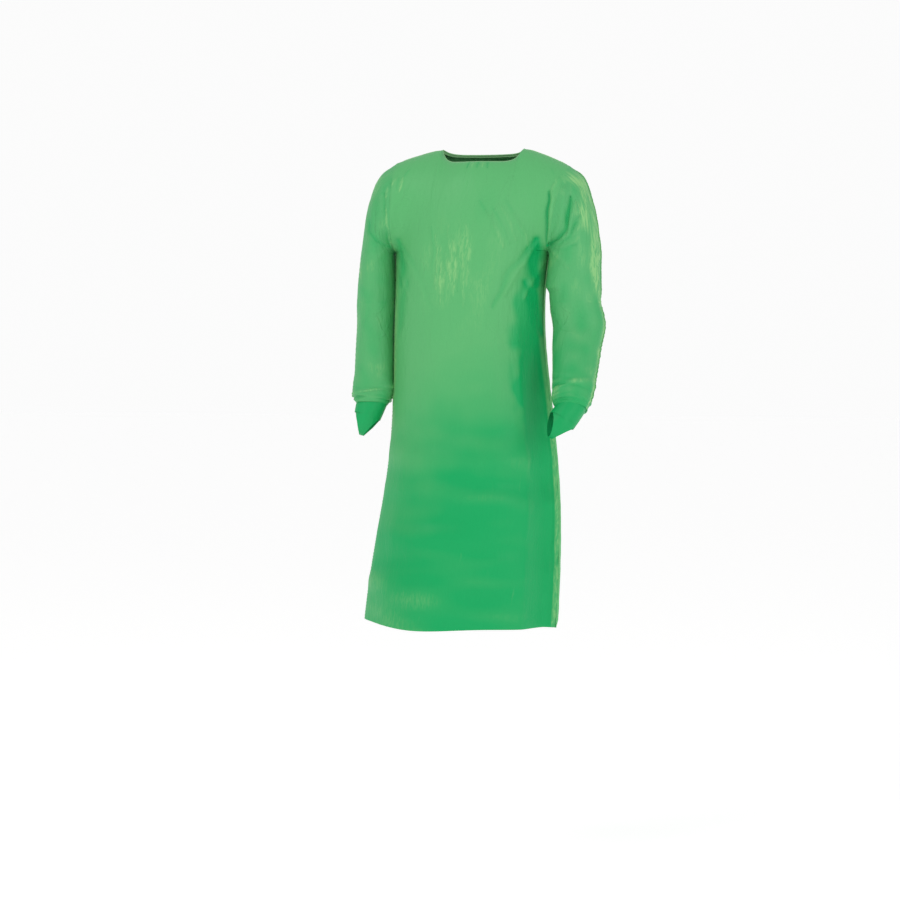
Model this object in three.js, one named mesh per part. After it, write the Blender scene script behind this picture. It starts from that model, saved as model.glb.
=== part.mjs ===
// A disposable isolation gown of thin plastic film, as it hangs when worn: a front panel, two back
// panels with flaps that fold open, two long sleeves, cuffs, thumb loops and the heat-welded seams.
// Millimetres. +Z is up, the front faces -Y, and the wearer's left is +X. The origin is between the
// two points where the shoulder welds meet the neck edge. Drops are measured down from there.
import * as THREE from 'three';

// Film and seams.
const film = 1.6;             // the film is far thinner, and is given this wall so that it has a body
const seamGap = 0.9;          // clear space between two pieces that meet in a seam
const weldWidth = 4;          // how far a weld stands out past the film
const weldThick = 1.2;
const restGap = 0.5;          // clear space under a weld that lies on the film
const weldStart = 65;         // the side welds start this far below the underarm
const weldTaper = 0.1;
const bindingHeight = 5;      // the turned edge round the neck
const bindingThick = 2.4;

// Neck and shoulders.
const neckWidth = 174;
const frontNeckDrop = 30;
const backNeckDrop = 9;
const frontNeckReach = 60;    // how far the neck edge comes forward of the shoulder line
const backNeckReach = 42;
const shoulderWidth = 370;
const shoulderDrops = { left: 38, right: 26 };

// Torso and skirt: how far down each level is, its width, how far its middle leans to the wearer's
// right, and how far the front and back stand off the side welds.
const underarmDrop = 215;
const ribDrop = 350;
const waistDrop = 500;
const hipDrop = 700;
const kneeDrop = 840;
const gownLength = 1008;
const chestWidth = 330;
const ribWidth = 319;
const waistWidth = 334;
const hipWidth = 370;
const kneeWidth = 400;
const hemWidth = 418;
const chestLean = 25;
const ribLean = 32;
const waistLean = 27;
const hipLean = 25;
const kneeLean = 37;
const hemLean = 52;
const chestFront = 112;
const waistFront = 104;
const hemFront = 134;
const chestBack = 93;          // the back slopes evenly out from here to the hem
const hemBack = 128;

// Back opening: the slit starts under the centre weld, and each flap folds along a straight line
// from the top of the slit to a point on the hem.
const slitRow = 4;            // the row of the yoke that the slit starts at
const flapWidth = 116;
const slitGap = 8;
const foldGap = 3;
const tiePatch = { half: 11, drop: 520, height: 30 };

// Sleeves. Girths are right round, and each arm hangs its own way. Half widths seen from the front
// are at the top of the arm, elbow, wrist and cuff; distances off the body are at the top, above
// the elbow, at the elbow and at the wrist; and forward is at the elbow and the wrist.
const armholeReach = 68;      // half the front-to-back size of the armhole
const fanDrop = 8;            // below the underarm the sleeve runs straight down
const fanTop = 200;
const elbowDrop = 372;
const elbowHalf = 50;         // half the length of sleeve that creases at the elbow
const upperGirth = 350;
const elbowGirth = 312;
const wristGirth = 246;
const cuffGirth = 188;
const loopReach = 44;         // how far a thumb loop hangs below its cuff
const loopWidth = 26;
const loopTipWidth = 9;
const loopGap = 1.5;
const armClearance = weldWidth * 1.75 + film / 2 + restGap * 2 + seamGap;
const arms = [
  { name: 'left', side: 1, halfWidths: [52, 54, 40, 33], standOff: [4, 14, 22, 20],
    forward: [10, 98], forearm: 190, cuff: [-13, -14, -31], thumb: [-0.9, -0.44] },
  { name: 'right', side: -1, halfWidths: [31, 38, 37, 29], standOff: [8, 10, 11, 11],
    forward: [-22, 8], forearm: 170, cuff: [-6, -6, -31], thumb: [0.98, 0.2] },
];

// Mesh fineness.
const neckColumns = 8;
const shoulderColumns = 5;
const skirtRows = 13;
const flapColumns = 4;
const ringSteps = 16;         // even, so that each ring has a point at the underarm and one on top
const headRings = 3;
const loopSteps = 12;

const colours = { panel: '#5db474', sleeve: '#59b273', cuff: '#31a967', weld: '#86c288' };
const gown = new THREE.Group();

function add(name, geometry, colour) {
  const material = new THREE.MeshStandardMaterial({ color: colour, roughness: 0.42, metalness: 0 });
  const mesh = new THREE.Mesh(geometry, material);
  mesh.name = name;
  gown.add(mesh);
}

const point = (x, y, z) => new THREE.Vector3(x, y, z);
const mix = (a, b, share) => a.clone().lerp(b, share);

function solid(points, faces) {
  let volume = 0;
  for (const [a, b, c] of faces) {
    volume += points[a].dot(points[b].clone().cross(points[c]));
  }
  const turned = volume < 0 ? faces.map(([a, b, c]) => [a, c, b]) : faces;
  const geometry = new THREE.BufferGeometry().setFromPoints(points);
  geometry.setIndex(turned.flat());
  geometry.computeVertexNormals();
  return geometry;
}

// A closed sheet: half the wall on each side of a grid of points. A closed grid is a tube.
function sheet(rows, { tube = false, wall = film } = {}) {
  const columns = rows[0].length;
  const row = (i) => rows[Math.min(Math.max(i, 0), rows.length - 1)];
  const wrap = (j) => (tube ? (j + columns) % columns : Math.min(Math.max(j, 0), columns - 1));
  const points = [];
  for (const side of [0.5, -0.5]) {
    for (let i = 0; i < rows.length; i++) {
      for (let j = 0; j < columns; j++) {
        const across = row(i)[wrap(j + 1)].clone().sub(row(i)[wrap(j - 1)]);
        const along = row(i + 1)[j].clone().sub(row(i - 1)[j]);
        points.push(rows[i][j].clone().addScaledVector(across.cross(along).normalize(), side * wall));
      }
    }
  }
  const back = rows.length * columns;
  const faces = [];
  const quad = (a, b, c, d) => faces.push([a, b, c], [a, c, d]);
  for (let i = 0; i < rows.length - 1; i++) {
    for (let j = 0; j < (tube ? columns : columns - 1); j++) {
      const [a, b] = [i * columns + j, i * columns + wrap(j + 1)];
      quad(a, b, b + columns, a + columns);
      quad(back + a + columns, back + b + columns, back + b, back + a);
    }
  }
  for (let j = 0; j < (tube ? columns : columns - 1); j++) {
    const [a, b] = [j, wrap(j + 1)];
    const top = (rows.length - 1) * columns;
    quad(back + a, back + b, b, a);
    quad(top + a, top + b, back + top + b, back + top + a);
  }
  for (let i = 0; i < (tube ? 0 : rows.length - 1); i++) {
    const [a, b] = [i * columns, i * columns + columns - 1];
    quad(a, a + columns, back + a + columns, back + a);
    quad(back + b, back + b + columns, b + columns, b);
  }
  return solid(points, faces);
}

// A closed bar: the same outline at each step along it.
function bar(outlines) {
  const corners = outlines[0].length;
  const faces = [];
  for (let i = 0; i < outlines.length - 1; i++) {
    for (let j = 0; j < corners; j++) {
      const [a, b] = [i * corners + j, i * corners + ((j + 1) % corners)];
      faces.push([a, b, b + corners], [a, b + corners, a + corners]);
    }
  }
  const last = (outlines.length - 1) * corners;
  for (let j = 1; j < corners - 1; j++) {
    faces.push([0, j + 1, j], [last, last + j, last + j + 1]);
  }
  return solid(outlines.flat(), faces);
}

// Pulls the first and last rows of a grid in by half a seam's gap.
function trimRows(rows, first = seamGap / 2, last = seamGap / 2) {
  const pulled = (from, to, by) => from.map((p, j) => mix(p, to[j], by / p.distanceTo(to[j])));
  const end = rows.length - 1;
  return rows.map((r, i) => {
    if (i === 0 && first) return pulled(r, rows[1], first);
    if (i === end && last) return pulled(r, rows[end - 1], last);
    return r;
  });
}

const turnGrid = (rows) => rows[0].map((_, j) => rows.map((r) => r[j]));
const trimColumns = (rows, first, last) => turnGrid(trimRows(turnGrid(rows), first, last));

// ---- The hanging shape of the body ----

const backAt = (drop) => THREE.MathUtils.mapLinear(drop, underarmDrop, gownLength, chestBack, hemBack);
const levels = [
  [underarmDrop, chestLean, chestWidth, chestFront],
  [ribDrop, ribLean, ribWidth, chestFront],
  [waistDrop, waistLean, waistWidth, waistFront],
  [hipDrop, hipLean, hipWidth, (waistFront + hemFront) / 2],
  [kneeDrop, kneeLean, kneeWidth, hemFront],
  [gownLength, hemLean, hemWidth, hemFront],
];
const shape = new THREE.CubicInterpolant(
  levels.map((l) => l[0]), levels.flatMap((l) => l.slice(1)), 3);

function level(drop) {
  const [lean, width, front] = shape.evaluate(drop);
  return { middle: -lean, half: width / 2, front, back: backAt(drop) };
}

const sideX = (side, drop) => level(drop).middle + side * level(drop).half;

// Across the body t runs from -1, the wearer's right side weld, to 1. The front is a shallow lens,
// and the back hangs flat between the shoulder blades.
const frontCrown = (t) => (1 - Math.abs(t) ** 2.3) ** 0.75;
const backCrown = (t) => (1 - Math.abs(t) ** 6) ** 0.8;
const crown = (face, t) => (face < 0 ? frontCrown(t) : backCrown(t));

function torsoPoint(face, t, drop) {
  const { middle, half, front, back } = level(drop);
  return point(middle + half * t, face * (face < 0 ? front : back) * crown(face, t), -drop);
}

// The top line: the neck edge in the middle, and a shoulder weld on each side.
const neckShare = neckWidth / shoulderWidth;
const neckHalf = neckWidth / 2;

function topPoint(face, t) {
  const out = Math.abs(t);
  if (out > neckShare) {
    const share = (out - neckShare) / (1 - neckShare);
    const x = neckHalf + (shoulderWidth / 2 - neckHalf) * share;
    const drop = t > 0 ? shoulderDrops.left : shoulderDrops.right;
    return point(Math.sign(t) * x, 0, -drop * share ** 1.25);
  }
  const share = out / neckShare;
  const [drop, reach] = face < 0 ? [frontNeckDrop, frontNeckReach] : [backNeckDrop, backNeckReach];
  return point((t / neckShare) * neckHalf, face * reach * (1 - share ** 2) ** 0.6,
    -drop * (1 - share ** 8));
}

// Between the underarm and the top line w runs from 0 to 1.
const armholeDepth = (w) => 2 * armholeReach * Math.sqrt(Math.max(w * (1 - w), 0));

function yokePoint(face, t, w) {
  const under = torsoPoint(face, t, underarmDrop);
  const top = topPoint(face, t);
  const round = Math.sqrt(Math.max(1 - w * w, 0));
  const depth = top.y + (under.y - top.y) * round + face * armholeDepth(w) * Math.abs(t) ** 4;
  return point(THREE.MathUtils.lerp(under.x, top.x, w), depth, THREE.MathUtils.lerp(under.z, top.z, w));
}

const halfRing = ringSteps / 2;
const yokeShares = Array.from({ length: halfRing + 1 }, (_, i) => (1 - Math.cos((Math.PI * i) / halfRing)) / 2);
const skirtDrops = Array.from({ length: skirtRows },
  (_, i) => gownLength + ((underarmDrop - gownLength) * i) / skirtRows);

// Columns over half the body, from the centre out, with one at the neck point.
const halfColumns = [
  ...Array.from({ length: neckColumns / 2 }, (_, i) => (neckShare * i) / (neckColumns / 2)),
  ...Array.from({ length: shoulderColumns + 1 }, (_, i) => neckShare + ((1 - neckShare) * i) / shoulderColumns),
];
const sideInset = 0.985;      // the panels stop short of the side line, where the side weld joins them
const inset = (t) => Math.sign(t) * Math.min(Math.abs(t), sideInset);

// ---- Front panel ----

const frontColumns = [...halfColumns.slice(1).reverse().map((t) => -t), ...halfColumns];
const frontRows = [
  ...skirtDrops.map((drop) => frontColumns.map((t) => torsoPoint(-1, inset(t), drop))),
  ...yokeShares.map((w) => frontColumns.map((t) => yokePoint(-1, w > 0 ? t : inset(t), w))),
];
add('front_panel', sheet(trimColumns(trimRows(frontRows, 0), seamGap, seamGap)), colours.panel);

// ---- Back panels and flaps ----

// Every row of the back, from the hem up, as a function of t.
const backRows = [
  ...skirtDrops.map((drop) => (t) => torsoPoint(1, t, drop)),
  ...yokeShares.map((w) => (t) => yokePoint(1, t, w)),
];
const slitIndex = skirtRows + slitRow;
const slitTop = backRows[slitIndex](0);
const slitFoot = point(level(gownLength).middle, hemBack, -gownLength);

// The point across the back, this far from the slit, on the straight line from its top to the hem.
function backLine(rowAt, atTop, atHem) {
  const share = (rowAt(0).z - slitTop.z) / (slitFoot.z - slitTop.z);
  const p = mix(slitTop, slitFoot, share);
  p.x += THREE.MathUtils.lerp(atTop, atHem, share);
  return p;
}
const foldPoint = (side, rowAt) => backLine(rowAt, 0, side * flapWidth);
const slitPoint = (side, rowAt) => backLine(rowAt, (side * slitGap) / 2, (side * slitGap) / 2);

function backPanel({ name, side }) {
  const rows = backRows.map((rowAt, i) => {
    const centre = rowAt(0);
    const fold = i < slitIndex ? foldPoint(side, rowAt) : centre;
    const first = (fold.x - centre.x) / (rowAt(side).x - centre.x);
    return halfColumns.map((share, j) => {
      if (j === 0) return fold;
      const t = side * (first + (1 - first) * share);
      return rowAt(i > skirtRows ? t : inset(t));
    });
  });
  add(`back_panel_${name}`, sheet(trimColumns(trimRows(rows, 0), foldGap / 2, seamGap)), colours.panel);
}

function flapPoint(side, rowAt, share) {
  return mix(foldPoint(side, rowAt), slitPoint(side, rowAt), share);
}

function backFlap({ name, side }) {
  const rows = backRows.slice(0, slitIndex - 1).map((rowAt) =>
    Array.from({ length: flapColumns + 1 }, (_, j) => flapPoint(side, rowAt, j / flapColumns)));
  add(`back_flap_${name}`, sheet(trimColumns(rows, foldGap / 2, 0)), colours.panel);
}

// The heat-welded patch that a waist tie leaves from.
function tiePatchOn({ name, side }) {
  const { half, drop, height } = tiePatch;
  const rows = [drop + height / 2, drop - height / 2].map((d) => {
    const rowAt = (t) => torsoPoint(1, t, d);
    const share = half / foldPoint(side, rowAt).distanceTo(slitPoint(side, rowAt));
    return [0.5 - share, 0.5 + share].map((by) => {
      const p = flapPoint(side, rowAt, by);
      return p.setY(p.y + film / 2 + restGap + weldThick / 2);
    });
  });
  add(`tie_patch_${name}`, sheet(rows, { wall: weldThick }), colours.weld);
}

arms.forEach(backPanel);
arms.forEach(backFlap);
arms.forEach(tiePatchOn);

// ---- Welds and the neck edge ----

// The weld that closes the back under the neck edge lies flat over the two panels.
const backWeldRows = backRows.slice(slitIndex, -1).map((rowAt, i) => {
  const index = slitIndex + i;
  const along = backRows[index + 1](0).sub(backRows[index - 1](0));
  const out = point(1, 0, 0).cross(along).normalize();
  if (out.y < 0) out.negate();
  const middle = rowAt(0).addScaledVector(out, film / 2 + restGap + weldThick / 2);
  return [-weldWidth, weldWidth].map((x) => middle.clone().setX(middle.x + x));
});
add('back_neck_weld', sheet(backWeldRows, { wall: weldThick }), colours.weld);

function neckEdge(name, face) {
  const across = frontColumns.filter((t) => Math.abs(t) <= neckShare + 1e-9).map((t) => topPoint(face, t));
  const reach = face < 0 ? frontNeckReach : backNeckReach;
  const rows = [film / 2 + seamGap, film / 2 + seamGap + bindingHeight].map((by) => across.map((p) => {
    const inward = point(-p.x / neckHalf, -p.y / reach, 0.6).normalize();
    return p.clone().addScaledVector(inward, by);
  }));
  add(name, sheet(trimColumns(rows, bindingThick, bindingThick), { wall: bindingThick }), colours.weld);
}
neckEdge('neck_edge_front', -1);
neckEdge('neck_edge_back', 1);

function shoulderWeld({ name, side }) {
  const foot = film / 2 + restGap;
  const outlines = Array.from({ length: shoulderColumns + 1 }, (_, i) => {
    const share = THREE.MathUtils.lerp(neckShare + 0.03, 0.98, i / shoulderColumns);
    const p = topPoint(1, side * share);
    const half = weldThick / 2;
    return [[-half, foot], [half, foot], [half, foot + weldWidth], [-half, foot + weldWidth]]
      .map(([y, z]) => point(p.x, y, p.z + z));
  });
  add(`shoulder_weld_${name}`, bar(outlines), colours.weld);
}

function sideWeld({ name, side }) {
  const start = underarmDrop + weldStart;
  const drops = Array.from({ length: skirtRows + 1 }, (_, i) =>
    THREE.MathUtils.lerp(gownLength, start, i / skirtRows));
  const outlines = drops.map((drop) => {
    const front = torsoPoint(-1, side * sideInset, drop);
    const back = torsoPoint(1, side * sideInset, drop);
    const tip = sideX(side, drop) + side * Math.min(weldWidth, 1 + (drop - start) * weldTaper);
    const [near, far] = [front.x - side * film / 2, front.x + side * film / 2];
    const half = weldThick / 2;
    return [[near, front.y + restGap], [far, front.y + restGap], [tip, -half], [tip, half],
      [far, back.y - restGap], [near, back.y - restGap]].map(([x, y]) => point(x, y, -drop));
  });
  add(`side_weld_${name}`, bar(outlines), colours.weld);
}
arms.forEach(shoulderWeld);
arms.forEach(sideWeld);

// ---- Sleeves ----

// Half the depth of a ring that is this far round and spreads this far each way.
function halfDepth(girth, spread) {
  const radius = girth / (2 * Math.PI);
  return Math.sqrt(Math.max(2 * radius ** 2 - spread ** 2, (0.4 * radius) ** 2));
}

// A ring from the point nearest the body, round the front, to the outer point and back.
function ring(inner, outer, depth, down = point(0, 0, -1)) {
  const middle = mix(inner, outer, 0.5);
  const across = outer.clone().sub(middle);
  const forward = down.clone().cross(point(1, 0, 0)).normalize();
  if (forward.y > 0) forward.negate();
  return Array.from({ length: ringSteps }, (_, i) => {
    const angle = (2 * Math.PI * i) / ringSteps;
    return middle.clone().addScaledVector(across, -Math.cos(angle))
      .addScaledVector(forward, depth * Math.sin(angle));
  });
}

// A ring square to the way the sleeve runs.
function ringAbout(middle, down, side, spread, girth) {
  const across = point(side, 0, 0);
  across.addScaledVector(down, -across.dot(down)).setLength(spread);
  return ring(middle.clone().sub(across), middle.clone().add(across), halfDepth(girth, spread), down);
}

const trimTube = (rings) => trimRows(rings, seamGap / 2, seamGap / 2);

function sleeve({ name, side, halfWidths, standOff, forward, forearm, cuff, thumb }) {
  const [topHalf, elbowHalfWidth, wristHalf, cuffHalf] = halfWidths;
  const underarm = yokePoint(-1, side, 0);
  const shoulder = yokePoint(-1, side, 1);
  const innerX = (drop, off) => sideX(side, drop) + side * off;
  const elbow = point(innerX(elbowDrop, standOff[2]) + side * elbowHalfWidth, -forward[0], -elbowDrop);
  const wristDrop = elbowDrop + Math.sqrt(forearm ** 2 - (forward[1] - forward[0]) ** 2);
  const wrist = point(innerX(wristDrop, standOff[3]) + side * wristHalf, -forward[1], -wristDrop);
  const bottomDrop = elbowDrop - elbowHalf;
  const bottomMiddle = point(innerX(bottomDrop, standOff[1]) + side * elbowHalfWidth,
    -forward[0] * (bottomDrop / elbowDrop), -bottomDrop);

  // The head of the sleeve fans out from the armhole about the underarm.
  const fanDepth = -forward[0] * (fanTop / elbowDrop) ** 2;
  const fanInner = point(innerX(underarmDrop + fanDrop, standOff[0]), fanDepth, -underarmDrop - fanDrop);
  const fanOuter = point(fanInner.x + side * 2 * topHalf, fanDepth, -fanTop);
  const control = point(THREE.MathUtils.lerp(shoulder.x, fanOuter.x, 0.72), 0, shoulder.z - fanDrop);
  const over = new THREE.QuadraticBezierCurve3(shoulder, control, fanOuter);
  const fanHalf = fanInner.distanceTo(fanOuter) / 2;
  const head = Array.from({ length: headRings + 1 }, (_, i) => {
    const share = i / headRings;
    const depth = THREE.MathUtils.lerp(armholeReach, halfDepth(upperGirth, fanHalf), share);
    return ring(mix(underarm, fanInner, share), over.getPoint(share), depth);
  });

  // Below it the sleeve runs down the upper arm, through the elbow and along the forearm.
  const bottom = ringAbout(bottomMiddle, point(0, 0, -1), side, elbowHalfWidth, elbowGirth);
  const fan = head[headRings];
  const between = fan.map((p, i) => mix(p, bottom[i], 0.5));
  const down = wrist.clone().sub(elbow).normalize();
  const along = (share) => {
    // The forearm runs straight, but never nearer to the body than its weld and the side weld allow.
    const middle = mix(elbow, wrist, share);
    const half = THREE.MathUtils.lerp(elbowHalfWidth, wristHalf, share);
    const nearest = side * sideX(side, -middle.z) + half + armClearance;
    middle.x = side * Math.max(side * middle.x, nearest);
    return ringAbout(middle, share > 0 ? down : mix(point(0, 0, -1), down, 0.5).normalize(), side, half,
      THREE.MathUtils.lerp(elbowGirth, wristGirth, share));
  };
  const crease = elbowHalf / forearm;
  const lower = Array.from({ length: 5 }, (_, i) => along(THREE.MathUtils.lerp(crease, 1, i / 4)));

  const cuffDown = point(...cuff);
  const cuffEnd = wrist.clone().add(cuffDown);
  const cuffWay = cuffDown.clone().normalize();
  const cuffRings = [0, 0.4, 1].map((share) => ringAbout(mix(wrist, cuffEnd, share),
    mix(down, cuffWay, share).normalize(), side,
    THREE.MathUtils.lerp(wristHalf, cuffHalf, Math.min(share * 1.6, 1)),
    THREE.MathUtils.lerp(wristGirth, cuffGirth, Math.min(share * 1.6, 1))));

  add(`sleeve_head_${name}`, sheet(trimRows(head, seamGap * 1.5, seamGap / 2), { tube: true }), colours.sleeve);
  add(`sleeve_upper_${name}`, sheet(trimTube([fan, between, bottom]), { tube: true }), colours.sleeve);
  add(`sleeve_elbow_${name}`, sheet(trimTube([bottom, along(0), along(crease)]), { tube: true }), colours.sleeve);
  add(`sleeve_forearm_${name}`, sheet(trimTube(lower), { tube: true }), colours.sleeve);
  add(`cuff_${name}`, sheet(trimTube(cuffRings), { tube: true }), colours.cuff);

  // Welds that stand out along the top and the underside of the sleeve.
  const weld = (part, rings, index, out, wide) => {
    const outlines = rings.map((r) => {
      const p = r[index];
      const foot = film / 2 + restGap;
      const half = weldThick / 2;
      return [[foot, -half], [foot, half], [foot + wide, half], [foot + wide, -half]]
        .map(([x, y]) => point(p.x + out * x, p.y + y, p.z));
    });
    add(part, bar(trimTube(outlines)), colours.weld);
  };
  weld(`over_arm_weld_${name}`, [fan, between, bottom], halfRing, side, weldWidth);
  weld(`forearm_weld_${name}`, lower, halfRing, side, weldWidth);
  weld(`under_arm_weld_${name}`, lower, 0, -side, weldWidth * 0.75);

  // The thumb loop: a strap of film from the back of the hand, round under the palm side.
  const toThumb = point(thumb[0], thumb[1], 0);
  toThumb.addScaledVector(cuffWay, -toThumb.dot(cuffWay)).normalize();
  const acrossHand = cuffWay.clone().cross(toThumb);
  const radius = cuffGirth / (2 * Math.PI);
  const strap = Array.from({ length: loopSteps + 1 }, (_, i) => {
    const angle = (Math.PI * i) / loopSteps;
    const middle = cuffEnd.clone().addScaledVector(acrossHand, radius * Math.cos(angle))
      .addScaledVector(cuffWay, loopGap + loopReach * Math.sin(angle));
    const half = THREE.MathUtils.lerp(loopTipWidth, loopWidth, Math.abs(Math.cos(angle)) ** 1.5) / 2;
    return [-half, 0, half].map((by) => middle.clone().addScaledVector(toThumb, by));
  });
  add(`thumb_loop_${name}`, sheet(strap), colours.cuff);
}
arms.forEach(sleeve);

export default gown;
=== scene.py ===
"""An isolation gown of thin green plastic film, as it hangs when worn, built over its CAD model.

Metres. +Z is up, the front faces -Y, the wearer's left is +X, and the origin is between the points
where the shoulder welds meet the neck edge.
"""

import math

import bpy
import numpy as np
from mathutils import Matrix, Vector, noise


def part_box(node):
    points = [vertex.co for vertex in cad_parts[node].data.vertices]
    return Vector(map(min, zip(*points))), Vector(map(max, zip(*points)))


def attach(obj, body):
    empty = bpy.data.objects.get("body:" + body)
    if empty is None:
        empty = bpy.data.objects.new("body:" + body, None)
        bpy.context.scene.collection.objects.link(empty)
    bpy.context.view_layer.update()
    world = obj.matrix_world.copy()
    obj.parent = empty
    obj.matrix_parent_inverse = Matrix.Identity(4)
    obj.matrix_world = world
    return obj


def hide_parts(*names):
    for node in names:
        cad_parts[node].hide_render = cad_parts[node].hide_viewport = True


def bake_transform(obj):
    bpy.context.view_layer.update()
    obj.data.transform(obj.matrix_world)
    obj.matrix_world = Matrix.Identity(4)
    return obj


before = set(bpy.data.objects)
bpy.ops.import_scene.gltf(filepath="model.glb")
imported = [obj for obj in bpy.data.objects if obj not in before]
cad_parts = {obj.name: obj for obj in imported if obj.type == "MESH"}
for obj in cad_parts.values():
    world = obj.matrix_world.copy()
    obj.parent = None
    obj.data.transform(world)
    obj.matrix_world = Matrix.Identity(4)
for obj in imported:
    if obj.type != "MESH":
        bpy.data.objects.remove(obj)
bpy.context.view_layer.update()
scene = bpy.context.scene
sides = (("left", 1), ("right", -1))

# ---- Camera, floor and light ----
# The gown is seen from a little to the wearer's left and from about chest height, five metres off.
# It stands as worn, so its hem is half a metre above a plain pale floor.
turn = math.radians(12)
across_view = Vector((math.cos(turn), math.sin(turn), 0))
aim = across_view * -0.071 + Vector((0, 0, -0.636))
camera_rise = math.radians(2.7)
camera_back = Vector((math.sin(turn) * math.cos(camera_rise), -math.cos(turn) * math.cos(camera_rise),
                      math.sin(camera_rise)))
camera_data = bpy.data.cameras.new("camera")
camera_data.lens = 94
camera = bpy.data.objects.new("camera", camera_data)
camera.location = aim + camera_back * 5
camera.rotation_euler = (-camera_back).to_track_quat("-Z", "Y").to_euler()
scene.collection.objects.link(camera)
scene.camera = camera
scene.view_settings.view_transform = "Standard"

floor_height = -1.548
bpy.ops.object.select_all(action="DESELECT")
bpy.ops.mesh.primitive_plane_add(size=60, location=(0, 0, floor_height))
floor = bpy.context.object
floor.name = "floor"
floor_paint = bpy.data.materials.new("pale_floor")
floor_paint.use_nodes = True
floor_look = floor_paint.node_tree.nodes["Principled BSDF"].inputs
floor_look["Base Color"].default_value = (0.93, 0.93, 0.93, 1)
floor_look["Roughness"].default_value = 0.9
floor_look["Emission Color"].default_value = (1, 1, 1, 1)
floor_look["Emission Strength"].default_value = 0.29
floor.data.materials.append(floor_paint)

world = bpy.data.worlds.new("studio")
world.use_nodes = True
sky = world.node_tree.nodes["Background"].inputs["Strength"]
world.node_tree.nodes["Background"].inputs["Color"].default_value = (1, 1, 1, 1)
seen = world.node_tree.nodes.new("ShaderNodeLightPath").outputs["Is Camera Ray"]
brightness = world.node_tree.nodes.new("ShaderNodeMapRange")
brightness.inputs["To Min"].default_value = 0.73   # as it lights the gown
brightness.inputs["To Max"].default_value = 0.97   # as it is seen behind the gown
world.node_tree.links.new(seen, brightness.inputs["Value"])
world.node_tree.links.new(brightness.outputs["Result"], sky)
scene.world = world


def soft_light(name, place, size, power, colour=(1, 1, 1)):
    lamp = bpy.data.lights.new(name, "AREA")
    lamp.shape = "RECTANGLE"
    lamp.size, lamp.size_y = size
    lamp.energy = power
    lamp.color = colour
    holder = bpy.data.objects.new(name, lamp)
    holder.location = place
    holder.rotation_euler = (Vector(place) - Vector((0, 0, -0.35))).to_track_quat("Z", "Y").to_euler()
    scene.collection.objects.link(holder)


soft_light("key", (-1.7, -2.4, 1.9), (1.6, 1.2), 27, (1.0, 0.99, 0.93))
soft_light("fill", (2.6, -2.2, 0.3), (1.2, 2.2), 22)

# ---- The hang of the film ----
# The gown is cut like a poncho: the front is one sheet of film from cuff to cuff, the back is two,
# and heat welds join them. These are the surfaces in which the sheets hang over the wearer.
underarm = -0.215
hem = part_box("front_panel")[0].z
neck_half = 0.087
shoulder_half = 0.185
shoulder_drops = {1: 0.038, -1: 0.026}   # the wearer's left and right
neck_share = neck_half / shoulder_half
front_neck = (0.030, 0.060)   # how far the neck edge drops, and how far it comes forward
back_neck = (0.009, 0.042)
armhole_reach = 0.068
ring_steps = 128              # round a sleeve
yoke_rows = ring_steps // 2   # from the underarm to the shoulder
skirt_rows = 168
front_columns = 160
back_columns = 72             # on each side of the slit
wall = 0.0008                 # half the wall that the CAD film has


def cut(node, height):
    """The lowest and highest x and y of the outline in which a level plane cuts a CAD node."""
    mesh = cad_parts[node].data
    mesh.calc_loop_triangles()
    points = np.array([v.co for v in mesh.vertices])
    corners = points[np.array([t.vertices for t in mesh.loop_triangles])]
    a = corners.reshape(-1, 3)
    b = np.roll(corners, -1, axis=1).reshape(-1, 3)
    crossing = (a[:, 2] - height) * (b[:, 2] - height) < 0
    a, b = a[crossing], b[crossing]
    found = a + (b - a) * ((height - a[:, 2]) / (b[:, 2] - a[:, 2]))[:, None]
    return found[:, :2].min(0), found[:, :2].max(0)


level_heights = np.linspace(hem + 0.002, underarm - 0.004, 15)
fronts = [cut("front_panel", h) for h in level_heights]
backs = [cut("back_panel_left", h) for h in level_heights]


def level_curve(values):
    return np.polynomial.Polynomial.fit(level_heights, values, 6)


middle_at = level_curve([(low[0] + high[0]) / 2 for low, high in fronts])
half_at = level_curve([((high[0] - low[0]) / 2 + wall) / 0.985 for low, high in fronts])
front_at = level_curve([-low[1] - wall for low, high in fronts])
back_at = level_curve([high[1] - wall for low, high in backs])


def smooth(low, high, value):
    share = np.clip((value - low) / (high - low), 0, 1)
    return share * share * (3 - 2 * share)


def torso(face, t, z):
    """The body of the gown. face is -1 in front; t runs from -1, the wearer's right side weld, to 1."""
    out = np.abs(t)
    round_front = (1 - out ** 2.3) ** 0.75
    if face > 0:
        depth = back_at(z) * (1 - out ** 6) ** 0.8
    else:
        # The two sheets meet in a flat lip at each side, so the front hollows before it.
        hollow = smooth(-0.32, -0.50, z) * np.where(t > 0, 0.86, 0.08)
        depth = -front_at(z) * round_front * (1 - hollow * smooth(0.70, 0.93, out))
    return np.stack(np.broadcast_arrays(middle_at(z) + half_at(z) * t, depth, z), -1)


def top_line(face, t):
    """The neck edge in the middle, and a shoulder weld on each side."""
    out = np.abs(t)
    drop, reach = front_neck if face < 0 else back_neck
    beyond = np.clip((out - neck_share) / (1 - neck_share), 0, 1)
    inside = np.clip(out / neck_share, 0, 1)
    x = np.where(out > neck_share, neck_half + (shoulder_half - neck_half) * beyond, inside * neck_half)
    y = face * reach * (1 - inside ** 2) ** 0.6
    slope = np.where(t > 0, shoulder_drops[1], shoulder_drops[-1])
    z = np.where(out > neck_share, -slope * beyond ** 1.25, -drop * (1 - inside ** 8))
    return np.stack([np.sign(t) * x, y, z], -1)


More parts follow.
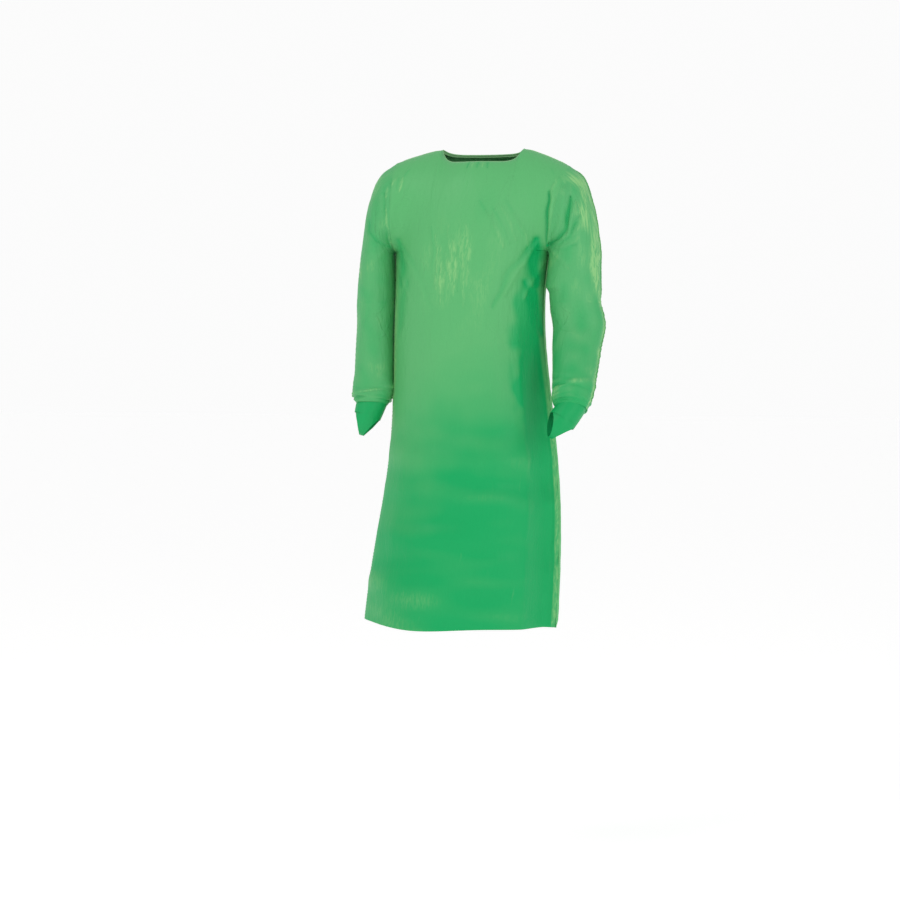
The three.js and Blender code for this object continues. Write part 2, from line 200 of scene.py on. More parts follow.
def yoke(face, t, w):
    """Between the underarm, where w is 0, and the top line."""
    under = torso(face, t, np.full_like(t, underarm))
    top = top_line(face, t)
    made = under + (top - under) * w
    reach = 2 * armhole_reach * math.sqrt(max(w * (1 - w), 0))
    near_arm = np.abs(t) ** (4 + 12 * (1 - w) ** 3)
    made[:, 1] = top[:, 1] + (under[:, 1] - top[:, 1]) * math.sqrt(max(1 - w * w, 0))
    made[:, 1] += face * reach * near_arm
    return made


yoke_shares = (1 - np.cos(np.linspace(0, math.pi, yoke_rows + 1))) / 2
skirt_heights = np.linspace(hem, underarm, skirt_rows, endpoint=False)

# The front sheet, and the two back sheets with the slit between them.
across = np.linspace(-1, 1, front_columns + 1)
neck_column = np.argmin(np.abs(across - neck_share))
front_sheet = np.array([torso(-1, across, np.full_like(across, z)) for z in skirt_heights]
                       + [yoke(-1, across, w) for w in yoke_shares])

slit_share = 0.5
slit_top = yoke(1, np.zeros(1), slit_share)[0]
slit_foot = torso(1, np.zeros(1), np.full(1, hem))[0]
slit_half = 0.004
fold_half = 0.116


def back_row(t, z, w):
    return torso(1, t, np.full_like(t, z)) if w is None else yoke(1, t, w)


def back_sheet(side):
    shares = np.linspace(0, 1, back_columns + 1)
    rows = []
    for z, w in [(z, None) for z in skirt_heights] + [(underarm, w) for w in yoke_shares]:
        centre, edge = back_row(np.array([0.0, side * 1.0]), z, w)
        down = np.clip((slit_top[2] - centre[2]) / (slit_top[2] - slit_foot[2]), 0, 1)
        slit_x = slit_top[0] + (slit_foot[0] - slit_top[0]) * down if down > 0 else centre[0]
        first = (slit_x + side * slit_half * smooth(0, 0.03, down) - centre[0]) / (edge[0] - centre[0])
        row = back_row(side * (first + (1 - first) * shares), z, w)
        flat = slit_top[1] + (slit_foot[1] - slit_top[1]) * down
        over_flap = smooth(fold_half * 1.25, fold_half * 0.75, np.abs(row[:, 0] - slit_x)) if down > 0 else 0
        row[:, 1] += (flat - row[:, 1]) * over_flap * smooth(0, 0.1, down)
        rows.append(row)
    return np.array(rows)


# ---- The hang of the sleeves ----
# Each sleeve is a tube that leaves the armhole loop, fans down about the underarm, and runs through
# the elbow to the wrist, each arm in its own way.
fan_height, elbow_height = -0.200, -0.372
elbow_half = 0.050
upper_girth, elbow_girth, wrist_girth, cuff_girth = 0.350, 0.312, 0.246, 0.188
# Each arm's half widths at the underarm, elbow, wrist and cuff; its gaps from the body at the underarm,
# above the elbow, at the elbow and at the wrist; how far forward its elbow and wrist are; its forearm's
# length; the way from wrist to cuff edge; and the way to the thumb.
arms = {
    "left": {"half_widths": (0.052, 0.054, 0.040, 0.029), "stand_off": (0.004, 0.014, 0.022, 0.020),
             "forward": (0.010, 0.098), "forearm": 0.190, "cuff": (-0.018, -0.014, -0.029),
             "thumb": (-0.9, -0.44)},
    "right": {"half_widths": (0.034, 0.043, 0.042, 0.0285), "stand_off": (0.002, 0.001, 0.001, 0.003),
              "forward": (-0.022, 0.008), "forearm": 0.166, "cuff": (-0.009, -0.006, -0.030),
              "thumb": (0.98, 0.2)},
}


def half_depth(girth, spread):
    radius = girth / (2 * math.pi)
    return math.sqrt(max(2 * radius ** 2 - spread ** 2, (0.4 * radius) ** 2))


def unit(v):
    v = np.asarray(v, float)
    return v / np.linalg.norm(v)


def ring(inner, outer, depth, down=(0, 0, -1)):
    """From the point nearest the body, round the front, to the outer point and back."""
    middle = (inner + outer) / 2
    forward = unit(np.cross(down, (1, 0, 0)))
    forward = -forward if forward[1] > 0 else forward
    angle = np.linspace(0, 2 * math.pi, ring_steps, endpoint=False)[:, None]
    return middle - (outer - middle) * np.cos(angle) + forward * depth * np.sin(angle)


def ring_about(middle, down, side, spread, girth):
    across_arm = np.array((side, 0, 0)) - np.asarray(down) * down[0] * side
    across_arm = unit(across_arm) * spread
    return ring(middle - across_arm, middle + across_arm, half_depth(girth, spread), down)


def rows_through(keys, counts):
    """Rows on smooth curves through the key rows, with so many steps between each two."""
    keys = np.array(keys)
    gaps = np.linalg.norm(np.diff(keys, axis=0), axis=2).mean(1)
    at = np.concatenate([[0], np.cumsum(gaps)])
    slope = np.gradient(keys, at, axis=0)
    rows = []
    for k, count in enumerate(counts):
        for h in np.linspace(0, 1, count, endpoint=False):
            gap = at[k + 1] - at[k]
            rows.append((1 + 2 * h) * (1 - h) ** 2 * keys[k] + h * (1 - h) ** 2 * gap * slope[k]
                        + h * h * (3 - 2 * h) * keys[k + 1] + h * h * (h - 1) * gap * slope[k + 1])
    return np.array(rows + [keys[-1]])


def side_x(side, z):
    return middle_at(z) + side * half_at(z)


def sleeve_rows(name, side):
    """The upper sleeve, the lower sleeve and the cuff as rows of rings, and how the wrist lies."""
    arm = arms[name]
    top_half, elbow_width, wrist_half, cuff_half = arm["half_widths"]
    stand_off, forward = arm["stand_off"], arm["forward"]
    armpit = np.array([side_x(side, underarm), 0, underarm])
    shoulder = np.array([side * shoulder_half, 0, -shoulder_drops[side]])

    def middle(z, off, half, y):
        return np.array([side_x(side, z) + side * (off + half), y, z])

    elbow = middle(elbow_height, stand_off[2], elbow_width, -forward[0])
    wrist_height = elbow_height - math.sqrt(arm["forearm"] ** 2 - (forward[1] - forward[0]) ** 2)
    wrist = middle(wrist_height, stand_off[3], wrist_half, -forward[1])
    bottom_z = elbow_height + elbow_half
    bottom = ring_about(middle(bottom_z, stand_off[1], elbow_width, -forward[0] * bottom_z / elbow_height),
                        np.array((0, 0, -1.0)), side, elbow_width, elbow_girth)
    fan_depth = -forward[0] * (fan_height / elbow_height) ** 2
    fan_inner = np.array([side_x(side, underarm - 0.008) + side * stand_off[0], fan_depth, underarm - 0.008])
    fan_outer = np.array([fan_inner[0] + side * 2 * top_half, fan_depth, fan_height])
    control = np.array([shoulder[0] + (fan_outer[0] - shoulder[0]) * 0.72, 0, shoulder[2] - 0.008])
    fan_half = np.linalg.norm(fan_outer - fan_inner) / 2
    head = []
    for s in (0, 1 / 3, 2 / 3, 1):
        over = (1 - s) ** 2 * shoulder + 2 * s * (1 - s) * control + s * s * fan_outer
        depth = armhole_reach + (half_depth(upper_girth, fan_half) - armhole_reach) * s
        head.append(ring(armpit + (fan_inner - armpit) * s, over, depth))
    down = unit(wrist - elbow)
    nearest = side_x(side, wrist[2])

    def along(share, half=None, girth=None):
        at = elbow + (wrist - elbow) * share
        half = elbow_width + (wrist_half - elbow_width) * share if half is None else half
        girth = elbow_girth + (wrist_girth - elbow_girth) * share if girth is None else girth
        way = down if share > 0 else unit((np.array((0, 0, -1)) + down) / 2)
        return ring_about(at, way, side, half, girth)

    crease = elbow_half / arm["forearm"]
    upper_keys = head + [(head[3] + bottom) / 2, bottom]
    drawn_in = [along(share, wrist_half * wide, wrist_girth * wide)
                for share, wide in ((0.82, 1.08), (0.91, 1.02), (0.975, 0.93), (1.025, 0.79))]
    lower_keys = [bottom, along(0), along(crease), along(0.42), along(0.64)] + drawn_in
    upper_counts = [10, 10, 10, 12, 12]
    lower_counts = [12, 12, 12, 14, 12, 10, 9, 6]
    rows = rows_through(upper_keys + lower_keys[1:], upper_counts + lower_counts)
    split = sum(upper_counts)
    cuff_way = unit(arm["cuff"])
    cuff_end = wrist + np.array(arm["cuff"])
    cuff = [ring_about(wrist + down * 0.001, down, side, wrist_half * 0.79, wrist_girth * 0.80)]
    for s in (0.35, 0.7, 1.0):
        way = unit(down + (cuff_way - down) * s)
        half = wrist_half * 0.79 + (cuff_half - wrist_half * 0.79) * s
        girth = wrist_girth * 0.80 + (cuff_girth - wrist_girth * 0.80) * s
        cuff.append(ring_about(wrist + (cuff_end - wrist) * s, way, side, half, girth))
    return rows[:split + 1], rows[split:], rows_through(cuff, [5, 5, 5]), cuff_end, cuff_way


# ---- One garment ----
# The sheets are laid out together, joined where the real ones are welded, so that folds can run
# from one to the next. Each keeps its own flat pattern as a UV map, in metres.
patches = {}


def lay(name, rows, tube=False):
    patches[name] = {"rows": rows, "tube": tube}


lay("front_film", front_sheet)
hands = {}
for name, side in sides:
    lay(f"back_film_{name}", back_sheet(side)[:, ::-side])
    upper, lower, cuff, cuff_end, cuff_way = sleeve_rows(name, side)
    lay(f"sleeve_film_{name}", upper, True)
    lay(f"forearm_film_{name}", lower, True)
    lay(f"cuff_film_{name}", cuff, True)
    hands[name] = (cuff_end, cuff_way)


def flat_pattern(rows, tube):
    """Each point's place on the flat sheet, from the lengths along and across it."""
    if tube:
        rows = np.concatenate([rows, rows[:, :1]], axis=1)
    along = np.linalg.norm(np.diff(rows, axis=0), axis=2).mean(1)
    v = np.concatenate([[0], np.cumsum(along)])[:, None] + np.zeros(rows.shape[1])
    step = np.linalg.norm(np.diff(rows, axis=1), axis=2)
    u = np.concatenate([np.zeros((len(rows), 1)), np.cumsum(step, axis=1)], axis=1)
    return np.stack([u - u.mean(1, keepdims=True), v], -1)


def grid_faces(rows, columns, tube):
    i, j = np.meshgrid(np.arange(rows - 1), np.arange(columns if tube else columns - 1), indexing="ij")
    k = (j + 1) % columns
    return np.stack([i * columns + j, i * columns + k, (i + 1) * columns + k, (i + 1) * columns + j],
                    -1).reshape(-1, 4)


all_points = np.concatenate([p["rows"].reshape(-1, 3) for p in patches.values()])
_, first_use, welded = np.unique(np.round(all_points, 5), axis=0, return_index=True, return_inverse=True)
welded = welded.reshape(-1)
garment = all_points[first_use]
start = 0
for patch in patches.values():
    rows, columns = patch["rows"].shape[:2]
    patch["index"] = welded[start:start + rows * columns]
    patch["faces"] = grid_faces(rows, columns, patch["tube"])
    start += rows * columns
    # Faces look outwards: away from the middle of the patch for a tube, and by side for a sheet.
    shape = patch["rows"]
    normal = np.cross(shape[1:, 1:] - shape[:-1, :-1], shape[1:, :-1] - shape[:-1, 1:]).reshape(-1, 3)
    away = (shape[1:, 1:] + shape[:-1, :-1]) / 2
    centre = shape.mean(1)[:-1, None] if patch["tube"] else np.array((-0.02, 0, -0.5))
    if (normal * (away - centre).reshape(-1, 3)).sum() < 0:
        patch["faces"] = patch["faces"][:, ::-1]


def normals(points):
    total = np.zeros_like(points)
    for patch in patches.values():
        corners = points[patch["index"][patch["faces"]]]
        face = np.cross(corners[:, 2] - corners[:, 0], corners[:, 3] - corners[:, 1])
        for c in range(4):
            np.add.at(total, patch["index"][patch["faces"][:, c]], face)
    return total / np.maximum(np.linalg.norm(total, axis=1), 1e-12)[:, None]


def members(*names):
    """A mask of the garment's points that belong to these sheets."""
    mask = np.zeros(len(garment), bool)
    for name in names:
        mask[patches[name]["index"]] = True
    return mask


# ---- Folds ----
# Drag lines run from the outer shoulders to the underarms, the sleeves are gathered above the cuffs,
# and the neck edge is puckered in the middle. Light and shade are painted into the film's colour: a
# painted highlight makes it pale on ridges and crimps, and painted shade makes it a deeper green in hollows.
outward = normals(garment)
lift = np.zeros(len(garment))      # how far each point moves out of the smooth surface
painted_light = np.zeros(len(garment))      # painted light: 1 for a painted highlight, -1 for painted shade
on_front = members("front_film")
on_back = members("back_film_left", "back_film_right")
x, y, z = garment.T


def rough(points, size, seed, stretch=(1, 1, 1)):
    """Smooth noise with bumps of about this size, longer along x, y or z where stretch is under 1."""
    scale = np.array(stretch) / size
    shift = Vector((seed * 7.3, seed * 3.1, seed * 1.7))
    return np.array([noise.noise(Vector(p) + shift) for p in points * scale])


waviness = rough(garment, 0.030, 2)


def fold(line, width, height, colour, face=-1, where=1.0):
    """A ridge along a line of (x, z) points, or a hollow if its height is negative, with painted light along
    it: a painted highlight where colour is above 0 and painted shade where it is below.
    """
    line = np.array(line, float)
    flat = garment[:, [0, 2]] + waviness[:, None] * (0.004, 0.0)
    nearest = np.full(len(garment), np.inf)
    at = np.zeros(len(garment))
    lengths = np.linalg.norm(np.diff(line, axis=0), axis=1)
    for k, length in enumerate(lengths):
        way = line[k + 1] - line[k]
        share = np.clip(((flat - line[k]) @ way) / length ** 2, 0, 1)
        off = np.linalg.norm(flat - line[k] - share[:, None] * way, axis=1)
        closer = off < nearest
        nearest = np.where(closer, off, nearest)
        at = np.where(closer, lengths[:k].sum() + share * length, at)
    share = at / lengths.sum()
    wide = width * (0.35 + 0.65 * np.sin(math.pi * np.clip(share, 0.02, 0.98)) ** 0.7)
    shape = np.exp(-(nearest / wide) ** 1.7) * smooth(-0.015, 0.010, face * y) * where
    lift[:] += height * shape * smooth(0.15, 0.65, np.abs(outward[:, 1]))
    painted_light[:] += colour * shape


# A fan of drag lines runs from each underarm up to the outer shoulder, and over the upper sleeve. Each is
# given by how far out and up its other end is, its bow, its width, its height and its colour, which is
# painted light: a painted highlight above 0 and painted shade below.
drag_lines = [
    (0.008, 0.112, 0.000, 0.0042, -0.0050, -1.1),
    (0.018, 0.125, 0.002, 0.0050, 0.0030, 0.35),
    (0.040, 0.118, 0.012, 0.0080, 0.0045, 0.10),
    (0.054, 0.100, 0.017, 0.0055, -0.0056, -1.2),
    (0.062, 0.088, 0.017, 0.0045, 0.0036, 0.50),
    (0.070, 0.062, 0.016, 0.0050, -0.0040, -0.8),
    (0.074, 0.045, 0.012, 0.0040, 0.0026, 0.45),
    (0.070, 0.014, 0.010, 0.0040, 0.0022, 0.35),
    (0.066, 0.002, 0.008, 0.0048, -0.0022, -0.4),
    (0.050, -0.050, -0.006, 0.0035, 0.0018, 0.30),
]
# Beside each underarm the chest film falls slack in two hollows, with ridges across them; the hollows get
# painted shade and the ridges a painted highlight. Each is given by points out and up from the underarm, its
# width, its height and its colour, which is painted light as above.
slack_lines = [
    (((-0.020, 0.012), (-0.028, -0.035), (-0.022, -0.080)), 0.0150, -0.0040, -1.5),
    (((-0.004, -0.020), (-0.032, -0.080), (-0.048, -0.110)), 0.0055, 0.0030, 0.45),
    (((-0.042, -0.075), (-0.024, -0.120), (-0.014, -0.185)), 0.0130, -0.0034, -0.9),
    (((-0.020, 0.004), (-0.050, -0.040), (-0.085, -0.105)), 0.0070, 0.0032, 0.25),
    (((-0.034, -0.004), (-0.070, -0.055), (-0.105, -0.130)), 0.0075, -0.0028, -0.35),
]
# The wearer's left arm pulls harder on the film than the right one does.
for side, pull in ((1, 1.0), (-1, 0.45)):
    pit = np.array((side_x(side, underarm) + side * 0.002, underarm + 0.010))
    for out, up, bow, width, height, colour in drag_lines:
        end = pit + np.array((side * out, up))
        middle = (pit + end) / 2 + np.array((side * bow, -bow))
        line = [pit, (pit + middle) / 2 + (0, -bow * 0.4), middle, end]
        for face in (-1, 1):
            fold(line, width, height * pull, colour * pull, face)
    for steps, width, height, colour in slack_lines:
        line = [pit + (side * out, up) for out, up in steps]
        fold(line, width, height * pull, colour * pull, where=on_front)
    # Crimps about the outer end of the shoulder weld, painted pale as highlights and deep green as shade in
    # turn.
    for k in range(7):
        out = 0.150 + 0.008 * k + 0.004 * (k * k % 3)
        start = np.array((side * out, -0.044 - 0.006 * k - 0.006 * (k * 5 % 3)))
        end = start + (side * (0.010 - 0.003 * (k % 3)), -0.016 - 0.007 * (k * 2 % 3))
        fold([start, end], 0.0026, 0.0011, (0.8 if k % 2 else -0.25) * (1.0 if side < 0 else 0.5))
# The line beside the right upper arm: a low ridge with a painted highlight down it.
fold([(-0.196, -0.120), (-0.196, -0.160), (-0.186, underarm)], 0.0032, 0.0016, 1.0)

# Lines run down the chest, slant across it on the left, and pucker the neck edge; some are painted pale as
# highlights and others a deeper green as shade.
for k in range(9):
    top = np.array((-0.090 + 0.0095 * k, -0.165 - 0.020 * ((k * 5) % 4)))
    line = [top, top + (0.004, -0.055), top + (0.001, -0.095 - 0.015 * (k % 3))]
    fold(line, 0.0030, 0.0013, 0.40 if k % 3 else -0.35, where=on_front)
for k in range(6):
    top = np.array((0.012 + 0.013 * k, -0.112 - 0.008 * ((k * 3) % 4)))
    line = [top, top + (0.022, -0.040), top + (0.034, -0.075)]
    fold(line, 0.0034, 0.0012, 0.30 if k % 2 else -0.25, where=on_front)
for k in range(5):
    top = np.array((-0.014 + 0.0085 * k, -0.022))
    height, colour = (0.0022, 0.5) if k % 2 else (-0.0016, -0.5)
    fold([top, top + (0.003 * (k - 2), -0.022)], 0.0028, height, colour, where=on_front)

# The chest is covered in fine crimps, with painted highlights in patches over them, and the skirt sags in
# long level waves, painted pale on their crests and deep green in their troughs, with a painted highlight at
# the right of the hem.
crinkled = rough(garment, 0.050, 14, (1, 1, 0.6))
chest = np.exp(-((x + 0.035) / 0.085) ** 2 - ((z + 0.250) / 0.130) ** 2)
painted_light += np.where(on_front, chest * (0.30 + 0.8 * crinkled), 0)
on_skirt = smooth(-0.42, -0.66, z)
facing = smooth(0.10, 0.75, np.abs(outward[:, 1]))
sag = rough(garment, 0.13, 5, (0.45, 0.3, 1.9))
waves = rough(garment, 0.060, 6, (0.42, 0.3, 1.7))
lift += np.where(on_front, sag * 0.0130, sag * 0.0060) * on_skirt * facing
lift += np.where(on_front, waves * 0.0036, waves * 0.0020) * on_skirt * facing
right_of_hem = smooth(-0.80, -0.95, z) * smooth(0.05, -0.12, x)
painted_light += np.where(on_front, waves * 0.28, 0) * on_skirt
painted_light += np.where(on_front, np.clip(sag + 0.25, 0, 1), 0) * 0.38 * right_of_hem
soft = rough(garment, 0.055, 3, (1, 0.3, 0.28)) * smooth(-0.10, -0.22, z) * smooth(-0.75, -0.35, z)
lift += np.where(on_front, soft * 0.0032, 0)
# The back hangs in soft folds, painted pale on their crests and a deeper green in their hollows.
back_hang = rough(garment, 0.085, 9, (1, 0.2, 0.16)) * smooth(0.02, 0.05, y) * smooth(-0.06, -0.30, z)
lift += np.where(on_back, back_hang * 0.010, 0)
painted_light += np.where(on_back, back_hang * 0.7, 0)

# The lip at the wearer's left side, over the weld, gets a painted highlight, and inside it a band where the
# film turns away from the light gets painted shade.
front_index = patches["front_film"]["index"]
at_edge = np.zeros(len(garment))
at_edge[front_index] = np.broadcast_to(across, front_sheet.shape[:2]).reshape(-1)
lip = smooth(-0.40, -0.56, z) * smooth(0.930, 0.950, at_edge)
wide_band = smooth(-0.66, -0.46, z)
band_start = 0.72 - 0.14 * wide_band + 0.12 * waviness
side_shade_band = smooth(band_start, band_start + 0.16, at_edge) * smooth(0.965, 0.925, at_edge)
side_shade_band *= smooth(-0.25, -0.33, z)
painted_light += np.where(on_front, lip * 0.50 - side_shade_band * 0.9, 0)

# On the right a painted highlight runs down the line where the film turns away from view beside the sleeve.
turn_back = math.radians(12)
sideways = x * math.cos(turn_back) + y * math.sin(turn_back)
front_sideways = sideways[front_index].reshape(front_sheet.shape[:2])
from_turn = np.zeros(len(garment))
from_turn[front_index] = (front_sideways - front_sideways.min(1, keepdims=True)).reshape(-1)
beside_sleeve = smooth(underarm + 0.01, underarm - 0.02, z) * smooth(-0.60, -0.52, z)
limb_highlight = np.exp(-(from_turn / 0.0055) ** 2) * beside_sleeve
painted_light += np.where(on_front & (x < 0), limb_highlight * (1.25 + 0.9 * crinkled), 0)


def gathers(angle, share, seed):
    """Short irregular folds round the lower sleeve, closest together near the cuff."""
    random = np.random.default_rng(seed)
    raised = np.zeros(len(angle))
    for _ in range(34):
        level = 1 - 0.42 * random.random() ** 1.5
        centre = random.random() * 2 * math.pi
        reach = 0.35 + 0.8 * random.random()
        slant = random.normal() * 0.035
        height = random.choice((-1.0, 1.0)) * (0.0010 + 0.0022 * random.random()) * smooth(0.5, 0.8, level)
        apart = (angle - centre + math.pi) % (2 * math.pi) - math.pi
        raised += height * np.exp(-((share - level - slant * apart) / 0.020) ** 2 - (apart / reach) ** 2)
    return raised


# The sleeves: slack film, crimps along the outer weld with a painted highlight on them, and gathers above
# the cuff.
for name, side in sides:
    arm_tint = 1.0 if side > 0 else 0.45
    for part in (f"sleeve_film_{name}", f"forearm_film_{name}"):
        shape = patches[part]["rows"].shape[:2]
        where = patches[part]["index"]
        at = garment[where]
        angle = np.broadcast_to(np.linspace(0, 2 * math.pi, ring_steps, endpoint=False), shape).reshape(-1)
        share = np.broadcast_to(np.linspace(0, 1, shape[0])[:, None], shape).reshape(-1)
        loose = rough(at, 0.060, 8 + side, (1, 1, 0.5))
        uneven = rough(at, 0.020, 21, (1, 1, 0.35))
        mottled = rough(at, 0.026, 27, (1, 1, 0.7))
        upper_part = smooth(-0.33, -0.26, at[:, 2])
        reach = 0.20 + 0.26 * upper_part * (0.6 + uneven)
        crimped = np.exp(-((angle - math.pi + 0.10 + 0.25 * upper_part) / reach) ** 2)
        crimped *= smooth(-0.045, -0.075, at[:, 2])
        painted_light[where] += crimped * arm_tint * (1.5 + 1.4 * uneven) + 0.55 * mottled
        change = loose * 0.0036 * smooth(1.0, 0.9, share) * smooth(0, 0.15, share)
        change += crimped * np.sin(at[:, 2] * 2 * math.pi / 0.011 + uneven * 6) * 0.0007 * arm_tint
        if part == "sleeve_film_left":
            # Under this arm the slack film fills the space beside the body.
            inner = smooth(1.7, 0.5, np.minimum(angle, 2 * math.pi - angle))
            filled = smooth(-0.306, -0.286, at[:, 2]) * smooth(-0.200, -0.222, at[:, 2])
            change += inner * filled * (0.0032 + 0.085 * np.clip(-0.223 - at[:, 2], 0, 0.07))
        if part.startswith("forearm"):
            gathered = gathers(angle, share, 40 + side)
            change += gathered * smooth(1.0, 0.965, share)
            change += 0.0016 * np.exp(-((share - 0.90) / 0.04) ** 2) * np.sin(angle * 3 + side)
            # The gathers are painted pale on their ridges and deep green in their hollows, and the film is
            # made a darker green towards the cuff edge.
            painted_light[where] += gathered * 170 - smooth(0.90, 1.0, share) * 0.7
        lift[where] += change

garment = garment + outward * lift[:, None]

# The hem waves a little, and its corner on the wearer's right hangs higher.
near_hem = smooth(-0.80, hem, z)
hem_rise = 0.0020 * np.sin(x * 19 + 0.8) + 0.004 * smooth(-0.12, -0.26, x) - 0.002 * smooth(0.10, 0.16, x)
garment[:, 2] += near_hem * hem_rise
garment[:, 1] += near_hem * 0.006 * np.sin(x * 27 + 1.5)

# ---- Film ----
# Embossed polyethylene film, satin and almost opaque: fine crinkles all over, sharper ones where it
# has been folded, and a painted sheen: lamp light painted in as a paler green on the upper part and towards
# the wearer's right, which leaves the skirt a deeper green.


def new_group(name, inputs, outputs):
    group = bpy.data.node_groups.new(name, "ShaderNodeTree")
    for label, kind, value in inputs:
        socket = group.interface.new_socket(label, in_out="INPUT", socket_type=kind)
        socket.default_value = value
    for label, kind in outputs:
        group.interface.new_socket(label, in_out="OUTPUT", socket_type=kind)
    return group


def node(tree, kind, settings=(), **inputs):
    made = tree.nodes.new(kind)
    for key, value in dict(settings).items():
        setattr(made, key, value)
    for key, value in inputs.items():
        socket = made.inputs[int(key[1:])] if key[0] == "i" and key[1:].isdigit() else made.inputs[key]
        if isinstance(value, bpy.types.NodeSocket):
            tree.links.new(value, socket)
        else:
            socket.default_value = value
    return made.outputs


crinkle = new_group("crinkled_film",
                    [("Pattern", "NodeSocketVector", (0, 0, 0)), ("Place", "NodeSocketVector", (0, 0, 0)),
                     ("Crinkle", "NodeSocketFloat", 1.0), ("Painted Light", "NodeSocketFloat", 0.0)],
                    [("Height", "NodeSocketFloat"), ("Painted Sheen", "NodeSocketFloat"),
                     ("Gloss", "NodeSocketFloat"), ("Painted Highlight", "NodeSocketFloat")])
put_in = crinkle.nodes.new("NodeGroupInput").outputs
put_out = crinkle.nodes.new("NodeGroupOutput").inputs


def math_of(tree, operation, a, b=0.0, c=0.0):
    return node(tree, "ShaderNodeMath", {"operation": operation}, i0=a, i1=b, i2=c)[0]


# Long soft streaks that run down the film, short creases across them, and a fine emboss.
stretched = node(crinkle, "ShaderNodeMapping", i0=put_in["Pattern"], i3=(1.0, 0.22, 1.0))[0]
streak = node(crinkle, "ShaderNodeTexNoise", i0=stretched, Scale=95.0, Detail=4.0, Roughness=0.55,
              Distortion=0.6)[0]
wander = node(crinkle, "ShaderNodeTexNoise", i0=put_in["Pattern"], Scale=22.0, Detail=2.0)
bent = node(crinkle, "ShaderNodeVectorMath", {"operation": "SCALE"}, i0=wander["Color"], Scale=0.045)[0]
moved = node(crinkle, "ShaderNodeVectorMath", {"operation": "ADD"}, i0=put_in["Pattern"], i1=bent)[0]
crease_way = node(crinkle, "ShaderNodeMapping", i0=moved, i3=(1.0, 0.55, 1.0))[0]
cells = node(crinkle, "ShaderNodeTexVoronoi", {"feature": "DISTANCE_TO_EDGE"}, i0=crease_way, Scale=26.0)[0]
creases = node(crinkle, "ShaderNodeMapRange", {"interpolation_type": "SMOOTHSTEP"}, Value=cells,
               i1=0.0, i2=0.09, i3=1.0, i4=0.0)[0]
patchy = node(crinkle, "ShaderNodeTexNoise", i0=put_in["Pattern"], Scale=9.0, Detail=3.0)[0]
where_creased = node(crinkle, "ShaderNodeMapRange", {"interpolation_type": "SMOOTHSTEP"}, Value=patchy,
                     i1=0.46, i2=0.68, i3=0.0, i4=1.0)[0]
fine = node(crinkle, "ShaderNodeTexNoise", i0=put_in["Pattern"], Scale=700.0, Detail=2.0)[0]
creased = math_of(crinkle, "MULTIPLY", creases, where_creased)
height = math_of(crinkle, "MULTIPLY_ADD", creased, 0.34, math_of(crinkle, "MULTIPLY", streak, 1.1))
fade = node(crinkle, "ShaderNodeMapRange", {"interpolation_type": "SMOOTHSTEP"},
            Value=node(crinkle, "ShaderNodeSeparateXYZ", i0=put_in["Place"])["Z"],
            i1=-0.62, i2=-0.34, i3=0.50, i4=1.0)[0]
height = math_of(crinkle, "MULTIPLY", height, math_of(crinkle, "MULTIPLY", put_in["Crinkle"], fade))
height = math_of(crinkle, "MULTIPLY_ADD", fine, 0.05, height)
crinkle.links.new(height, put_out["Height"])

# Painted sheen: lamp light painted in as a paler green, strong on the chest and shoulders and towards the
# wearer's right, and fading in soft clouds down the skirt.
parts = node(crinkle, "ShaderNodeSeparateXYZ", i0=put_in["Place"])
cloud = node(crinkle, "ShaderNodeTexNoise", i0=put_in["Place"], Scale=4.2, Detail=3.0, Roughness=0.6)[0]
wavering = math_of(crinkle, "MULTIPLY_ADD", math_of(crinkle, "SUBTRACT", cloud, 0.5), 0.34, parts["Z"])
sloped = math_of(crinkle, "MULTIPLY_ADD", parts["X"], -0.45, wavering)
painted_sheen = node(crinkle, "ShaderNodeMapRange", {"interpolation_type": "SMOOTHSTEP"}, Value=sloped,
             i1=-0.78, i2=-0.36, i3=0.0, i4=1.0)[0]
# Painted glints: the brightest of the long streaks are painted paler, as highlights.
painted_glint = node(crinkle, "ShaderNodeMapRange", {"interpolation_type": "SMOOTHSTEP"}, Value=streak,
             i1=0.60, i2=0.78, i3=0.0, i4=0.35)[0]
painted_sheen = math_of(crinkle, "MULTIPLY_ADD", math_of(crinkle, "MULTIPLY", painted_glint, where_creased), 1.0, painted_sheen)
painted_sheen = math_of(crinkle, "MULTIPLY_ADD", put_in["Painted Light"], 0.9, painted_sheen)
crinkle.links.new(painted_sheen, put_out["Painted Sheen"])
# Painted highlight: where the painted light is high, thread-like streaks of pale yellow green are painted in
# as glints.
threads = node(crinkle, "ShaderNodeTexNoise", i0=stretched, Scale=240.0, Detail=3.0, Distortion=0.8)[0]
stringy = node(crinkle, "ShaderNodeMapRange", Value=threads, i1=0.40, i2=0.62, i3=0.12, i4=1.25)[0]
painted_highlight = math_of(crinkle, "MULTIPLY", math_of(crinkle, "SUBTRACT", put_in["Painted Light"], 0.12), stringy)
crinkle.links.new(painted_highlight, put_out["Painted Highlight"])
gloss = math_of(crinkle, "MULTIPLY_ADD", patchy, 0.18, 0.36)
crinkle.links.new(gloss, put_out["Gloss"])

highlight_green = (0.235, 0.545, 0.205)


